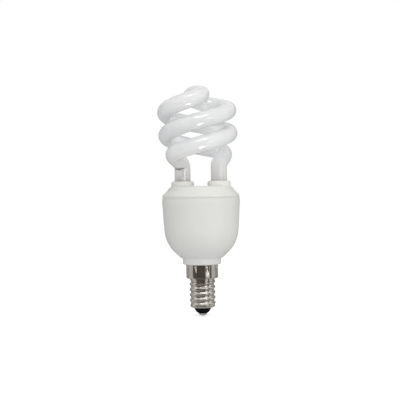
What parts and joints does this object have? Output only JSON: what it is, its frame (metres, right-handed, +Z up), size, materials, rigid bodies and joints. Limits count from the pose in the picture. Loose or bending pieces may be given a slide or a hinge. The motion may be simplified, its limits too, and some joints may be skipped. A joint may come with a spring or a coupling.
{
  "type": "spiral energy saving bulb",
  "caption": "Compact fluorescent lamp: a white double-spiral glass tube on a bowl-shaped plastic housing with a small Edison screw cap.",
  "frame": {"origin": "the tip of the centre contact, on the cap's axis", "axes": "+Z runs up the cap's axis to the spiral, +X is to the right and -Y is towards someone who looks at the lamp from the picture's side"},
  "size_m": [0.0428, 0.0416, 0.1217],
  "materials": {
    "phosphor_glass": "white coated glass, glossy outside",
    "white_housing": "white moulded plastic, satin gloss",
    "white_cover": "white moulded plastic, satin gloss",
    "nickel_shell": "bright nickel-plated pressed sheet",
    "black_glass": "black pressed glass, glossy",
    "contact_metal": "tinned brass",
    "cement": "dull cement",
    "board": "paper laminate, matte",
    "ferrite": "dark grey sintered ferrite",
    "bobbin": "black moulded bobbin",
    "copper_wire": "enamelled copper wire",
    "capacitor_can": "shrink sleeve over a can",
    "epoxy_black": "black moulding compound",
    "film_capacitor": "dipped resin, glossy",
    "resistor_body": "lacquered body",
    "diode_glass": "tinted glass body",
    "lead_wire": "tinned wire",
    "sleeve_red": "wire insulation",
    "sleeve_black": "wire insulation"
  },
  "bodies": {
    "root": {"spiral_tube": "phosphor_glass", "tube_cover": "white_cover", "housing": "white_housing", "screw_shell": "nickel_shell", "base_insulator": "black_glass", "centre_contact": "contact_metal", "tube_cement_left": "cement", "tube_cement_right": "cement", "circuit_board": "board", "smoothing_capacitor": "capacitor_can", "choke_core_1": "ferrite", "choke_core_2": "ferrite", "choke_bobbin": "bobbin", "choke_winding": "copper_wire", "drive_transformer_core": "ferrite", "drive_transformer_winding_1": "copper_wire", "drive_transformer_winding_2": "copper_wire", "drive_transformer_winding_3": "copper_wire", "transistor_1": "epoxy_black", "transistor_2": "epoxy_black", "rectifier_diode_1": "epoxy_black", "rectifier_diode_2": "epoxy_black", "rectifier_diode_3": "epoxy_black", "rectifier_diode_4": "epoxy_black", "resonance_capacitor": "film_capacitor", "blocking_capacitor": "film_capacitor", "starting_capacitor": "film_capacitor", "diac": "diode_glass", "resistor_1": "resistor_body", "resistor_2": "resistor_body", "resistor_3": "resistor_body", "resistor_4": "resistor_body", "fuse_resistor": "resistor_body", "wrap_pin_1": "lead_wire", "wrap_pin_2": "lead_wire", "wrap_pin_3": "lead_wire", "wrap_pin_4": "lead_wire", "electrode_lead_1": "lead_wire", "electrode_lead_2": "lead_wire", "electrode_lead_3": "lead_wire", "electrode_lead_4": "lead_wire", "contact_wire": "sleeve_red", "shell_wire": "sleeve_black"}
  },
  "joints": []
}
